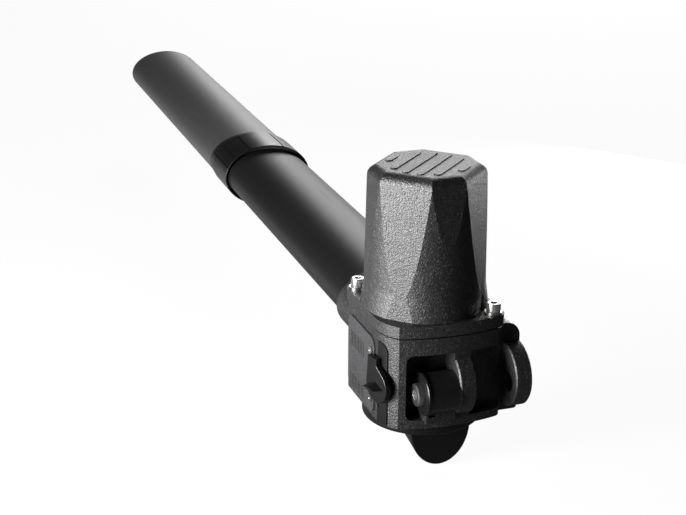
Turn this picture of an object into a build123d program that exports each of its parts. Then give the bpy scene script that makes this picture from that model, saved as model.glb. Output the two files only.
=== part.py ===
from build123d import *
import math
import os

# Linear swing gate opener, millimetres.
# The origin is the centre of the rear clevis bore, whose axis is Y.
# X runs along the tube towards the gate leaf, Z points up along the motor.

# Where the main axes lie, from the clevis bore
motor_x = 59.0
tube_y = 41.0
tube_z = 33.0

# Fits
running_gap = 0.05
sliding_gap = 0.4
seat_gap = 0.1
washer_gap = 0.2
wiper_gap = 0.3

# How far a cut runs past the faces that it opens
over = 1.0

# Fixed tube, an oval extrusion
tube_half_width = 50.0
tube_half_height = 31.0
tube_wall = 3.0
overlap_length = 150.0

# Sliding tube, collar and stroke
sliding_wall = 1.5
sliding_length = 573.0
stroke = 400.0
parking_gap = 28.0
collar_side_step = 1.6
collar_top_step = 5.1
collar_length = 80.0
collar_taper = 18.0
collar_mouth = 14.0
collar_wall = 1.3
collar_lip = 0.8
collar_edge_round = 0.6
collar_groove_places = (0.42, 0.8, 1.0)
collar_groove_size = 1.6
wiper_depth = 5.0
cap_thickness = 8.0
lid_thickness = 3.0
lid_round = 1.5

# Gearbox housing and motor flange, measured from the motor axis
side_reach = tube_half_width + 7.5
end_reach = 55.0
end_bow = 7.0
blunt_x = end_reach - 1.0
blunt_y = side_reach - 12.5
blunt_start = 0.4 * end_reach
blunt_bulge_x = 2.0
blunt_bulge_y = 3.0
corner_radius = 10.0
corner_share = 0.99
housing_height = 87.0
housing_inset = 1.5
flange_thickness = 11.0
gasket_thickness = 2.0
gasket_inset = 4.5
housing_top_over_tube = 19.0
socket_length = 24.0
socket_wall = 5.0
neck_start = 0.6 * end_reach
tube_end_gap = 0.3

# Motor cover
cover_height = 130.0
cover_foot_radius = side_reach + 1.0
cover_low_radius = cover_foot_radius - 3.0
cover_high_radius = cover_low_radius - 2.0
cover_foot_height = 22.0
facet_main_high = cover_high_radius - 3.0
facet_main_low = cover_low_radius + 3.5
facet_diagonal_high = cover_high_radius - 6.5
facet_diagonal_low = cover_low_radius + 1.5
cover_round = 10.0
cover_wall = 3.5
strip_width = 6.6
strip_pitch = 13.9
strip_height = 0.8
strip_count = 6
strip_circle = 36.0

# Cover bolts, M8 socket caps
bolt_x = end_reach - 7.0
bolt_y = side_reach - 10.0
bolt_radius = 4.0
bolt_head_radius = 6.5
bolt_head_height = 8.0
bolt_socket_radius = 3.4
bolt_socket_depth = 4.5
bolt_length = 24.0
bolt_chamfer = 0.6
washer_radius = 8.0
washer_thickness = 1.6
bolt_relief = 4.0
bolt_relief_height = 30.0
bolt_hole_gap = 0.5

# Rear clevis
pin_bore_radius = 9.0
ear_width = 16.0
ear_gap = 38.0
ear_radius = 31.0
ear_centre_x = 13.5
ear_centre_z = 3.0
ear_chamfer = 1.2
ear_root = 20.0
pocket_top = 36.5
pocket_floor = -27.0
gap_back = 13.5
pocket_back = 21.0
barrel_radius = 18.5
barrel_length = 28.0
pocket_side = 44.0
pocket_depth = 60.0
pocket_back_round = 9.0
pocket_side_round = 7.0
shoulder_length = 32.0
shoulder_root = 12.0
shoulder_top_round = 14.0
shoulder_bottom_round = 3.0
web_reach = 6.0
web_height = 10.0
web_slot_size = (8.0, 2.6)
web_slot_depth = 10.0
web_slot_y = 57.0
web_slot_z = -20.6
pivot_washer_radius = 19.5
pivot_washer_thickness = 3.0
pivot_washer_chamfer = 0.5
pivot_head_radius = 10.5
pivot_head_height = 6.0
pivot_socket_radius = 5.5
pivot_socket_depth = 4.0
pivot_bolt_radius = 6.0
pivot_bolt_length = 26.0

# Bottom cover and cable cowl
bottom_radius = 56.0
bottom_thickness = 11.0
bottom_round = 3.0
bottom_screw_count = 4
bottom_screw_radius = 48.0
bottom_screw_sink = 4.0
bottom_head_radius = 4.0
bottom_head_height = 3.5
bottom_head_gap = 0.2
bottom_socket_radius = 2.0
bottom_socket_depth = 1.8
bottom_shank_radius = 2.5
bottom_shank_length = 6.5
cowl_half_width = 29.5
cowl_depth = 40.5
cowl_rear_x = -38.0
cowl_rear_y = -4.0
cowl_rear_round = 1.5
cowl_front_x = 30.0
cowl_front_half_width = 27.0
cowl_front_depth = 12.0

# Side plate, panel strip and release lever
plate_thickness = 1.6
plate_screw_radius = 3.6
plate_head_height = 1.8
plate_head_round = 0.8
plate_shank_radius = 1.5
plate_shank_length = 8.0
plate_screw_hole = 1.7
plate_hole_length = 24.0
plate_rear = 30.0 - end_reach
plate_top_edge = 9.0
plate_bottom_edge = 4.0
plate_corner = 10.0
plate_groove_width = 1.4
plate_groove_depth = 0.8
plate_groove_pitch = 4.2
plate_groove_count = 9
plate_groove_middle = end_reach - 35.0
plate_groove_rows = ((-19.0, -4.0), (-60.0, -47.0))
strip_front = 23.5 - end_reach
strip_rear = 11.0 - end_reach
strip_thickness = 1.2
strip_top = 12.0
strip_round = 9.0
strip_foot = 1.0
strip_slot_size = (2.6, 7.0)
strip_slot_middle = (21.0 - end_reach, -49.0)
plate_screw_x = 36.5 - end_reach
plate_screw_levels = (-2.5, -50.0)
lever_gap = 1.4
lever_x = 17.5 - end_reach
lever_z = -29.0
lever_tilt = 14.0
lever_radius = 16.0
lever_thickness = 5.0
lever_edge_round = 1.0
lever_recess = 1.5
lever_recess_margin = 1.2
lever_tab_width = 14.0
lever_tab_x = 7.0
lever_tab_height = 26.0
lever_tab_foot = 19.5
lever_fin_height = 9.0
lever_fin_foot = (11.0, 4.5)
lever_fin_crest = (8.0, 1.4)
lever_fin_sink = 0.5
lever_notch_margin = 2.0
release_shaft_radius = 5.0
release_shaft_length = 30.0
shaft_flat_reach = 2.0
shaft_flat_length = 8.0

# Motor
rotor_radius = 22.0
rotor_length = 55.0
air_gap = 0.8
motor_plate_radius = side_reach - 6.5
motor_plate_thickness = 7.0
stator_radius = motor_plate_radius - 6.0
stator_length = 62.0
stator_lift = 14.0
rotor_lift = 3.5
motor_shaft_radius = 4.0
motor_shaft_overrun = 12.0
motor_bearing_width = 7.0
motor_bearing_drop = 8.0
shield_thickness = 6.0
shield_inset = 1.0

# Gears: a pinion on the motor shaft turns a crown wheel on the screw
pinion_teeth = 12
crown_teeth = 24
pinion_radius = 7.0
pinion_height = 8.0
crown_radius = 17.0
crown_thickness = 9.0
tooth_depth = 1.6
gear_clearance = 0.6
pinion_gap_width = 1.8
pinion_room = 4.0
crown_gap_width = 1.9
crown_gap_length = 12.0
crown_gap_inset = 2.0
crown_room = 2.0
gear_room_rear = -6.0

# Screw, nut and push tube
screw_radius = 10.0
screw_end_margin = 54.0
screw_overrun = 20.0
nut_length = 26.0
push_radius = 16.0
push_wall = 3.0
push_end_gap = 0.2
bearing_radius = 17.0
bearing_width = 14.0
bearing_set_back = 10.0

# Front eye
eye_neck_radius = 12.0
eye_half_width = 12.0
eye_radius = 18.0
eye_bore_radius = 6.1
eye_reach = 32.0
eye_neck_depth = 25.0
eye_neck_stop = 8.0
eye_root = 4.0
eye_chamfer = 1.0

# Places along the tube, from the motor axis
housing_front = end_reach + end_bow + 1.0
collar_x = housing_front + socket_length + parking_gap + stroke
tube_end_x = collar_x + overlap_length
tip_x = collar_x + collar_mouth + sliding_length

# Levels, from the tube's axis
housing_bottom = housing_top_over_tube - housing_height
flange_bottom = housing_top_over_tube + gasket_thickness
flange_top = flange_bottom + flange_thickness
bottom_face = housing_bottom - bottom_thickness
sliding_half_width = tube_half_width + sliding_gap + sliding_wall
sliding_half_height = tube_half_height + sliding_gap + sliding_wall
ear_inner = ear_gap / 2
ear_outer = ear_inner + ear_width
collar_half_width = sliding_half_width + collar_side_step
collar_half_height = sliding_half_height + collar_top_step
mouth_half_width = collar_half_width - collar_wall
mouth_half_height = collar_half_height - collar_wall


def place(shape, x=0.0, y=0.0, z=0.0):
    """Moves a shape from the crossing of the motor and tube axes to its place."""
    return Pos(motor_x + x, tube_y + y, tube_z + z) * shape


def upright(radius, low, high, x=0.0, y=0.0):
    """A round bar along Z, placed from the motor axis."""
    bar = Cylinder(radius, high - low, align=(Align.CENTER, Align.CENTER, Align.MIN))
    return place(bar, x, y, low)


def along_tube(radius, rear, front, y=0.0, z=0.0):
    """A round bar along X, placed from the tube's axis."""
    bar = Cylinder(radius, front - rear, align=(Align.CENTER, Align.CENTER, Align.MIN))
    return place(Rot(0, 90, 0) * bar, rear, y, z)


def across(radius, right, left, x=0.0, z=0.0):
    """A round bar along Y, placed from the clevis bore."""
    bar = Cylinder(radius, left - right, align=(Align.CENTER, Align.CENTER, Align.MIN))
    return Pos(x, right, z) * Rot(-90, 0, 0) * bar


def oval(half_width, half_height, rear, front):
    """An oval bar along the tube."""
    outline = Plane.YZ * Ellipse(half_width, half_height)
    return place(extrude(outline, amount=front - rear), rear)


def plan_outline(inset=0.0):
    """The outline that the flange and the housing share, seen from above."""
    sharp_rear = (-end_reach, -side_reach)
    sharp_front = (end_reach, side_reach)
    blunt_rear = (-blunt_x, blunt_y)
    blunt_front = (blunt_x, -blunt_y)
    left_end = (-blunt_start, side_reach)
    right_end = (blunt_start, -side_reach)
    corner_x = (blunt_x + blunt_start) / 2 + blunt_bulge_x
    corner_y = (blunt_y + side_reach) / 2 + blunt_bulge_y
    edges = [
        ThreePointArc(sharp_rear, (-end_reach - end_bow, 0), blunt_rear),
        ThreePointArc(blunt_rear, (-corner_x, corner_y), left_end),
        Line(left_end, sharp_front),
        ThreePointArc(sharp_front, (end_reach + end_bow, 0), blunt_front),
        ThreePointArc(blunt_front, (corner_x, -corner_y), right_end),
        Line(right_end, sharp_rear),
    ]
    face = make_face(edges)
    corners = face.vertices().filter_by(
        lambda point: min(abs(point.X) / end_reach, abs(point.Y) / side_reach) > corner_share
    )
    face = fillet(corners, corner_radius)
    if inset:
        face = offset(face, amount=-inset)
    return face


def slab(inset, low, high):
    """The plan outline as a plate between two levels."""
    return place(extrude(plan_outline(inset), amount=high - low), 0, 0, low)


def octagon(main, diagonal):
    """An octagon with separate reaches along its main axes and its diagonals."""
    square = Rectangle(2 * main, 2 * main)
    turned = Rot(0, 0, 45) * Rectangle(2 * diagonal, 2 * diagonal)
    return square & turned


def cover_form(shrink, drop):
    """A round cone cut by eight leaning facets, smaller by shrink on every side."""
    height = cover_height - drop
    profile = Polyline(
        (0, 0),
        (cover_foot_radius - shrink, 0),
        (cover_low_radius - shrink, cover_foot_height),
        (cover_high_radius - shrink, height),
        (0, height),
        close=True,
    )
    cone = revolve(Plane.XZ * make_face(profile), axis=Axis.Z, revolution_arc=360)
    low = octagon(facet_main_low - shrink, facet_diagonal_low - shrink)
    high = Pos(0, 0, height) * octagon(facet_main_high - shrink, facet_diagonal_high - shrink)
    return cone & loft([low, high])


def bolt_places():
    """Where the two diagonal cover bolts stand, from the motor axis."""
    return [(bolt_x, bolt_y), (-bolt_x, -bolt_y)]


def motor_cover():
    """Cast cover: faceted dome on the bolted flange, hollow for the motor."""
    dome = cover_form(0.0, 0.0)
    top_edges = dome.edges().group_by(Axis.Z)[-1]
    dome = fillet(top_edges, cover_round)
    hollow = cover_form(cover_wall, cover_wall)
    strips = Part()
    for i in range(strip_count):
        off = (i - (strip_count - 1) / 2) * strip_pitch
        length = 2 * math.sqrt(strip_circle**2 - off**2)
        strip = extrude(SlotOverall(length, strip_width), amount=2 * strip_height)
        strips += Pos(0, 0, cover_height - strip_height) * Rot(0, 0, -45) * Pos(0, off, 0) * strip
    shape = place(dome + strips, 0, 0, flange_top) + slab(0.0, flange_bottom, flange_top)
    shape -= place(hollow, 0, 0, flange_top)
    shape -= upright(motor_plate_radius + seat_gap, flange_bottom - over, flange_top + over)
    relief_top = flange_top + bolt_relief_height
    for x, y in bolt_places():
        shape -= upright(bolt_radius + bolt_hole_gap, flange_bottom - over, flange_top + over, x, y)
        shape -= upright(washer_radius + bolt_relief, flange_top, relief_top, x, y)
    return shape


def cover_gasket():
    """Flat gasket between the housing and the cover's flange."""
    sheet = slab(gasket_inset, housing_top_over_tube, flange_bottom)
    sheet -= upright(motor_plate_radius + seat_gap, housing_top_over_tube - over, flange_bottom + over)
    for x, y in bolt_places():
        hole = upright(bolt_radius + bolt_hole_gap, housing_top_over_tube - over, flange_bottom + over, x, y)
        sheet -= hole
    return sheet


def socket_bolt(shank, shank_length, head, head_height, socket, socket_depth):
    """A socket cap bolt, head up, with the underside of its head at zero."""
    bolt = Cylinder(head, head_height, align=(Align.CENTER, Align.CENTER, Align.MIN))
    bolt = chamfer(bolt.edges().group_by(Axis.Z)[-1], bolt_chamfer)
    bolt += Cylinder(shank, shank_length, align=(Align.CENTER, Align.CENTER, Align.MAX))
    hexagon = Pos(0, 0, head_height - socket_depth) * RegularPolygon(socket, 6)
    return bolt - extrude(hexagon, amount=socket_depth + 1)


def cover_bolts():
    """The two diagonal bolts of the motor cover."""
    bolt = socket_bolt(
        bolt_radius, bolt_length, bolt_head_radius, bolt_head_height, bolt_socket_radius, bolt_socket_depth
    )
    level = flange_top + washer_thickness
    return [place(bolt, x, y, level) for x, y in bolt_places()]


def cover_washers():
    """The washers under the cover bolts."""
    ring = Cylinder(washer_radius, washer_thickness, align=(Align.CENTER, Align.CENTER, Align.MIN))
    ring -= Cylinder(bolt_radius + washer_gap, 3 * washer_thickness)
    return [place(ring, x, y, flange_top) for x, y in bolt_places()]


def ear(right):
    """One clevis ear, a round cheek that runs forward into the housing."""
    width = ear_width
    cheek = across(ear_radius, right, right + width, ear_centre_x, ear_centre_z)
    cheek = chamfer(cheek.edges().filter_by(GeomType.CIRCLE), ear_chamfer)
    back = Box(ear_root, width, 2 * ear_radius, align=(Align.MIN, Align.MIN, Align.CENTER))
    return cheek + Pos(ear_centre_x, right, ear_centre_z) * back


def clevis_shoulder():
    """The rounded shoulder that carries the outer ear beside the housing."""
    height = housing_top_over_tube - housing_bottom
    profile = Rectangle(ear_outer + shoulder_root, height, align=(Align.MIN, Align.MIN))
    profile = fillet(profile.vertices().group_by(Axis.X)[0].sort_by(Axis.Y)[-1], shoulder_top_round)
    profile = fillet(profile.vertices().group_by(Axis.X)[0].sort_by(Axis.Y)[0], shoulder_bottom_round)
    block = extrude(Plane.YZ * profile, amount=shoulder_length)
    return Pos(ear_centre_x, -ear_outer, tube_z + housing_bottom) * block


def gearbox_housing():
    """Cast housing with the clevis, the rear pockets and the tube socket."""
    body = slab(housing_inset, housing_bottom, housing_top_over_tube)
    body += clevis_shoulder()
    pocket_height = pocket_top - pocket_floor
    pocket = Box(pocket_depth, ear_gap, pocket_height, align=(Align.MAX, Align.MIN, Align.MIN))
    pocket = fillet(pocket.edges().filter_by(Axis.Y).group_by(Axis.X)[-1], pocket_back_round)
    body -= Pos(gap_back, -ear_inner, pocket_floor) * pocket
    side = Box(pocket_depth, pocket_side, pocket_height, align=(Align.MAX, Align.MIN, Align.MIN))
    side = fillet(side.edges().filter_by(Axis.X).group_by(Axis.Y)[-1], pocket_side_round)
    body -= Pos(pocket_back, ear_outer, pocket_floor) * side
    body += ear(-ear_outer)
    body += ear(ear_inner)
    body += across(barrel_radius, ear_outer - over, ear_outer + barrel_length)
    web = Box(pocket_back + web_reach, barrel_length, web_height, align=(Align.MIN, Align.MIN, Align.MIN))
    body += Pos(-web_reach, ear_outer, pocket_floor) * web
    slot = extrude(Plane.YZ * SlotOverall(*web_slot_size), amount=web_slot_depth)
    body -= Pos(-web_reach, web_slot_y, web_slot_z) * slot
    body -= across(pin_bore_radius, -ear_outer - over, ear_outer)
    body -= across(pivot_bolt_radius + seat_gap, ear_outer - over, ear_outer + barrel_length + over)
    body += tube_socket()
    socket_front = housing_front + socket_length
    body -= oval(tube_half_width + seat_gap, tube_half_height + seat_gap, housing_front, socket_front + over)
    body -= along_tube(bearing_radius + running_gap, gear_room_rear, housing_front + over)
    crown_front = pinion_radius + gear_clearance + crown_thickness
    body -= along_tube(crown_radius + crown_room, gear_room_rear, crown_front + crown_room)
    body -= upright(pinion_radius + pinion_room, 0, housing_top_over_tube + over)
    for x, y in bolt_places():
        body -= upright(bolt_radius + seat_gap, flange_top - bolt_length, flange_top, x, y)
    return body - lever_room() - plate_screw_holes()


def tube_socket():
    """The oval neck and socket that take the fixed tube, before they are bored."""
    width, height = tube_half_width + socket_wall, tube_half_height + socket_wall
    neck = oval(width, height, neck_start, housing_front)
    neck -= slab(-socket_wall, housing_top_over_tube, housing_top_over_tube + tube_half_height)
    return neck + oval(width, height, housing_front, housing_front + socket_length)


def lever_room():
    """The room that the release lever and its shaft take out of the housing."""
    upwards = (Align.CENTER, Align.CENTER, Align.MIN)
    bore = Cylinder(release_shaft_radius + running_gap, release_shaft_length + over, align=upwards)
    recess = Cylinder(lever_radius + lever_recess_margin, 4 * lever_thickness, align=upwards)
    return lever_frame() * (Pos(0, 0, -release_shaft_length - over) * bore + recess)


def plate_screw_holes():
    """The holes of the side plate's screws, through the plate and into the housing."""
    hole = Rot(-90, 0, 0) * Cylinder(plate_screw_hole, plate_hole_length)
    return Part() + [place(hole, plate_screw_x, side_reach, z) for z in plate_screw_levels]


def lever_frame():
    """The release lever's place: its Z axis leaves the housing at the rounded corner."""
    face_y = side_reach - housing_inset - lever_recess
    return Pos(motor_x + lever_x, tube_y + face_y, tube_z + lever_z) * Rot(0, 0, lever_tilt) * Rot(-90, 0, 0)


def touch_point(x, y, side):
    """Where a line from an outside point touches the lever's round head."""
    angle = math.atan2(y, x) + side * math.acos(lever_radius / math.hypot(x, y))
    return (lever_radius * math.cos(angle), lever_radius * math.sin(angle))


def diamond(reach, half_width):
    """A four-cornered face, longer than it is wide."""
    return make_face(Polyline((-reach, 0), (0, half_width), (reach, 0), (0, -half_width), close=True))


def release_lever():
    """Lever with an offset tab, flanks tangent to its head and a grip fin, turned by hand."""
    near = lever_tab_x - lever_tab_width / 2
    far = lever_tab_x + lever_tab_width / 2
    flanks = Polyline(
        (near, -lever_tab_foot),
        (far, -lever_tab_foot),
        touch_point(far, -lever_tab_foot, 1),
        touch_point(near, -lever_tab_foot, -1),
        close=True,
    )
    tab = Pos(lever_tab_x, -lever_tab_height / 2) * Rectangle(lever_tab_width, lever_tab_height)
    lever = extrude(Circle(lever_radius) + make_face(flanks) + tab, amount=lever_thickness)
    lever = fillet(lever.edges().group_by(Axis.Z)[-1], lever_edge_round)
    crest = Pos(0, 0, lever_fin_height) * diamond(*lever_fin_crest)
    grip = Pos(0, 0, lever_thickness - lever_fin_sink) * loft([diamond(*lever_fin_foot), crest])
    return lever_frame() * Pos(0, 0, lever_gap) * (lever + grip)


def release_shaft():
    """The shaft that the lever turns."""
    bar = Cylinder(release_shaft_radius, release_shaft_length, align=(Align.CENTER, Align.CENTER, Align.MAX))
    width = 2 * release_shaft_radius
    flat = Box(2 * width, width, 2 * shaft_flat_length, align=(Align.CENTER, Align.MIN, Align.CENTER))
    bar -= Pos(0, shaft_flat_reach, -release_shaft_length) * flat
    return lever_frame() * Pos(0, 0, lever_gap) * bar


def wrap_sheet(thickness, outline, near, far):
    """A sheet that follows the housing's side wall inside an outline seen from the left."""
    shell = slab(housing_inset - thickness, near, far) - slab(housing_inset, near - over, far + over)
    prism = extrude(Plane.XZ * outline, amount=-3 * side_reach)
    return shell & place(prism)


def side_plate_outline():
    """The side plate's outline, seen from the left."""
    front = end_reach - corner_radius
    top = housing_top_over_tube - plate_top_edge
    bottom = housing_bottom + plate_bottom_edge
    middle = Pos((plate_rear + front) / 2, (top + bottom) / 2)
    plate = middle * RectangleRounded(front - plate_rear, top - bottom, plate_corner)
    notch = Pos(lever_x, lever_z) * Circle(lever_radius + lever_notch_margin)
    return plate - notch


def side_plate():
    """Smooth cover plate on the housing's left side, with two rows of upright grooves."""
    plate = wrap_sheet(plate_thickness, side_plate_outline(), housing_bottom, housing_top_over_tube)
    face_y = side_reach - housing_inset + plate_thickness
    for low, high in plate_groove_rows:
        groove = Box(plate_groove_width, 2 * plate_groove_depth, high - low)
        for i in range(plate_groove_count):
            x = plate_groove_middle + (i - (plate_groove_count - 1) / 2) * plate_groove_pitch
            plate -= place(groove, x, face_y, (low + high) / 2)
    return plate - plate_screw_holes()


def panel_strip():
    """Narrow raised strip behind the release lever, on the rounded corner."""
    bottom = housing_bottom + strip_foot
    middle = Pos((strip_rear + strip_front) / 2, (strip_top + bottom) / 2)
    outline = Rectangle(strip_front - strip_rear, strip_top - bottom)
    outline = middle * fillet(outline.vertices().group_by(Axis.Y)[-1].sort_by(Axis.X)[0], strip_round)
    outline -= Pos(*strip_slot_middle) * SlotOverall(strip_slot_size[1], strip_slot_size[0], rotation=90)
    strip = wrap_sheet(strip_thickness, outline, housing_bottom, housing_top_over_tube)
    hole = Cylinder(release_shaft_radius + sliding_gap, 4 * release_shaft_radius)
    return strip - lever_frame() * hole


def side_plate_screws():
    """Button screws of the side plate."""
    screw = Cylinder(plate_screw_radius, plate_head_height, align=(Align.CENTER, Align.CENTER, Align.MIN))
    screw = fillet(screw.edges().group_by(Axis.Z)[-1], plate_head_round)
    screw += Cylinder(plate_shank_radius, plate_shank_length, align=(Align.CENTER, Align.CENTER, Align.MAX))
    wall = side_reach - housing_inset + plate_thickness
    return [place(Rot(-90, 0, 0) * screw, plate_screw_x, wall + running_gap, z) for z in plate_screw_levels]


def bottom_screw_places():
    """Where the bottom cover's screws stand, from the motor axis."""
    places = []
    for i in range(bottom_screw_count):
        angle = math.radians(360 / bottom_screw_count * (i + 0.5))
        places.append((bottom_screw_radius * math.cos(angle), bottom_screw_radius * math.sin(angle)))
    return places


def bottom_cover():
    """Round cover under the gearbox."""
    disc = upright(bottom_radius, bottom_face, housing_bottom)
    disc = fillet(disc.edges().group_by(Axis.Z)[0], bottom_round)
    low = bottom_face - over
    for x, y in bottom_screw_places():
        disc -= upright(bottom_head_radius + bottom_head_gap, low, bottom_face + bottom_screw_sink, x, y)
        disc -= upright(bottom_shank_radius + seat_gap, low, housing_bottom + over, x, y)
    return disc


def bottom_screws():
    """Screws of the bottom cover."""
    screw = socket_bolt(
        bottom_shank_radius,
        bottom_shank_length,
        bottom_head_radius,
        bottom_head_height,
        bottom_socket_radius,
        bottom_socket_depth,
    )
    level = bottom_face + bottom_screw_sink
    return [place(Rot(180, 0, 0) * screw, x, y, level) for x, y in bottom_screw_places()]


def cable_cowl():
    """Smooth cowl over the cable outlet, deepest at its rear."""
    def rim(width, depth, x, y):
        half = Ellipse(width, depth) & Pos(0, -depth) * Rectangle(4 * width, 2 * depth)
        return Plane.YZ.offset(x) * Pos(y, 0) * half
    rear = rim(cowl_half_width, cowl_depth, cowl_rear_x, cowl_rear_y)
    front = rim(cowl_front_half_width, cowl_front_depth, cowl_front_x, 0)
    cowl = loft([rear, front])
    rear_edges = cowl.edges().group_by(Axis.X)[0]
    bowed = rear_edges.filter_by(lambda edge: edge.bounding_box().size.Z > cowl_depth / 2)
    return place(fillet(bowed, cowl_rear_round), 0, 0, bottom_face)


def pivot_bolt():
    """The bolt in the end of the clevis barrel."""
    bolt = socket_bolt(
        pivot_bolt_radius,
        pivot_bolt_length,
        pivot_head_radius,
        pivot_head_height,
        pivot_socket_radius,
        pivot_socket_depth,
    )
    seat = ear_outer + barrel_length + pivot_washer_thickness
    return Pos(0, seat, 0) * Rot(-90, 0, 0) * bolt


def pivot_washer():
    """The wide washer under the pivot bolt's head."""
    seat = ear_outer + barrel_length
    ring = across(pivot_washer_radius, seat, seat + pivot_washer_thickness)
    ring = chamfer(ring.edges().filter_by(GeomType.CIRCLE), pivot_washer_chamfer)
    return ring - across(pivot_bolt_radius + washer_gap, seat - over, seat + pivot_washer_thickness + over)


def fixed_tube():
    """The oval tube that stands in the housing's socket."""
    inner_width, inner_height = tube_half_width - tube_wall, tube_half_height - tube_wall
    tube = oval(tube_half_width, tube_half_height, housing_front + tube_end_gap, tube_end_x)
    return tube - oval(inner_width, inner_height, housing_front, tube_end_x + over)


def sliding_tube():
    """The outer oval tube that slides over the fixed one."""
    rear = collar_x + collar_mouth
    tube = oval(sliding_half_width, sliding_half_height, rear, tip_x)
    inner_width, inner_height = sliding_half_width - sliding_wall, sliding_half_height - sliding_wall
    return tube - oval(inner_width, inner_height, rear - over, tip_x + over)


def collar():
    """The collar on the sliding tube, tapering to it at its front end."""
    straight = collar_length - collar_taper
    shape = oval(collar_half_width, collar_half_height, collar_x, collar_x + straight)
    near = Plane.YZ * Ellipse(collar_half_width, collar_half_height)
    lip = Ellipse(sliding_half_width + collar_lip, sliding_half_height + collar_lip)
    far = Plane.YZ.offset(collar_taper) * lip
    shape += place(loft([near, far]), collar_x + straight)
    rear_edges = shape.edges().group_by(Axis.X)[0]
    shape = fillet(rear_edges, collar_edge_round)
    groove = Rot(45, 0, 0) * Box(3 * collar_length, collar_groove_size, collar_groove_size)
    for share in collar_groove_places:
        off = share * tube_half_width
        level = collar_half_height * math.sqrt(1 - (off / collar_half_width) ** 2)
        for side in (1, -1):
            shape -= place(groove, collar_x, side * off, level)
    front = collar_x + collar_length
    seat = collar_x + collar_mouth
    bore = oval(sliding_half_width + seat_gap, sliding_half_height + seat_gap, seat, front + over)
    mouth = oval(mouth_half_width, mouth_half_height, collar_x - over, seat)
    return shape - bore - mouth


def wiper_seal():
    """Rubber wiper in the collar's mouth."""
    front = collar_x + collar_mouth - wiper_gap
    rear = front - wiper_depth
    ring = oval(mouth_half_width - seat_gap, mouth_half_height - seat_gap, rear, front)
    return ring - oval(tube_half_width + wiper_gap, tube_half_height + wiper_gap, rear - over, front + over)


def end_cap():
    """The cap that closes the sliding tube around the eye's neck."""
    inner_wide = sliding_half_width - sliding_wall - seat_gap
    inner_high = sliding_half_height - sliding_wall - seat_gap
    plug = oval(inner_wide, inner_high, tip_x - cap_thickness, tip_x)
    lid = oval(sliding_half_width, sliding_half_height, tip_x, tip_x + lid_thickness)
    lid = fillet(lid.edges().group_by(Axis.X)[-1], lid_round)
    rear, front = tip_x - cap_thickness - over, tip_x + lid_thickness + over
    return plug + lid - along_tube(eye_neck_radius + seat_gap, rear, front)


def push_tube():
    """The tube that carries the nut's push to the front eye."""
    rear = tube_end_x - screw_end_margin
    tube = along_tube(push_radius, rear, tip_x - cap_thickness - push_end_gap)
    return tube - along_tube(push_radius - push_wall, rear - over, tip_x)


def drive_nut():
    """Oval nut carrier that runs on the screw inside the fixed tube."""
    rear = tube_end_x - screw_end_margin - nut_length
    gap = tube_wall + sliding_gap
    nut = oval(tube_half_width - gap, tube_half_height - gap, rear, rear + nut_length)
    return nut - along_tube(screw_radius + running_gap, rear - over, rear + nut_length + over)


def front_eye():
    """Front eye on its neck, plugged into the push tube."""
    rear = tip_x - cap_thickness - eye_neck_depth
    neck = along_tube(eye_neck_radius, rear, tip_x + eye_reach - eye_neck_stop)
    root = Rectangle(eye_radius + eye_root, 2 * eye_neck_radius, align=(Align.MAX, Align.CENTER))
    head = extrude(Plane.XZ * (Circle(eye_radius) + root), amount=eye_half_width, both=True)
    head = chamfer(head.edges().filter_by(GeomType.CIRCLE), eye_chamfer)
    eye = neck + place(head, tip_x + eye_reach)
    bore = place(Rot(-90, 0, 0) * Cylinder(eye_bore_radius, 4 * eye_half_width), tip_x + eye_reach)
    return eye - bore


def front_plug():
    """Sleeve that centres the eye's neck in the push tube."""
    rear = tip_x - cap_thickness - eye_neck_depth
    front = tip_x - cap_thickness - sliding_gap
    sleeve = along_tube(push_radius - push_wall - seat_gap, rear, front)
    return sleeve - along_tube(eye_neck_radius + seat_gap, rear - over, front + over)


def lead_screw():
    """The screw that drives the nut."""
    front = tube_end_x - screw_end_margin + screw_overrun
    return along_tube(screw_radius, pinion_radius + gear_clearance, front)


def screw_bearing():
    """Bearing that carries the screw in the housing."""
    front = housing_front - bearing_set_back
    rear = front - bearing_width
    ring = along_tube(bearing_radius, rear, front)
    return ring - along_tube(screw_radius + running_gap, rear - over, front + over)


def crown_wheel():
    """Crown wheel with radial teeth on its rear face."""
    rear = pinion_radius + gear_clearance
    wheel = along_tube(crown_radius, rear, rear + crown_thickness)
    notch = Box(2 * tooth_depth, crown_gap_length, crown_gap_width)
    notch = Pos(rear, crown_radius - crown_gap_inset, 0) * notch
    for i in range(crown_teeth):
        wheel -= place(Rot(360 / crown_teeth * (i + 0.5), 0, 0) * notch)
    return wheel - along_tube(screw_radius + seat_gap, rear - over, rear + crown_thickness + over)


def bevel_pinion():
    """Pinion on the motor shaft."""
    low = crown_radius - pinion_height
    pinion = upright(pinion_radius, low, crown_radius)
    notch = Pos(pinion_radius, 0, 0) * Box(2 * tooth_depth, pinion_gap_width, 4 * pinion_height)
    for i in range(pinion_teeth):
        pinion -= place(Rot(0, 0, 360 / pinion_teeth * (i + 0.5)) * notch, 0, 0, low)
    return pinion - upright(motor_shaft_radius + seat_gap, low - over, crown_radius + over)


def motor_rotor():
    """Rotor and its shaft."""
    low = flange_bottom + stator_lift + rotor_lift
    high = low + rotor_length
    shaft = upright(motor_shaft_radius, crown_radius - pinion_height, high + motor_shaft_overrun)
    return upright(rotor_radius, low, high) + shaft


def motor_stator():
    """Stator pack around the rotor."""
    low = flange_bottom + stator_lift
    ring = upright(stator_radius, low, low + stator_length)
    return ring - upright(rotor_radius + air_gap, low - over, low + stator_length + over)


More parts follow.
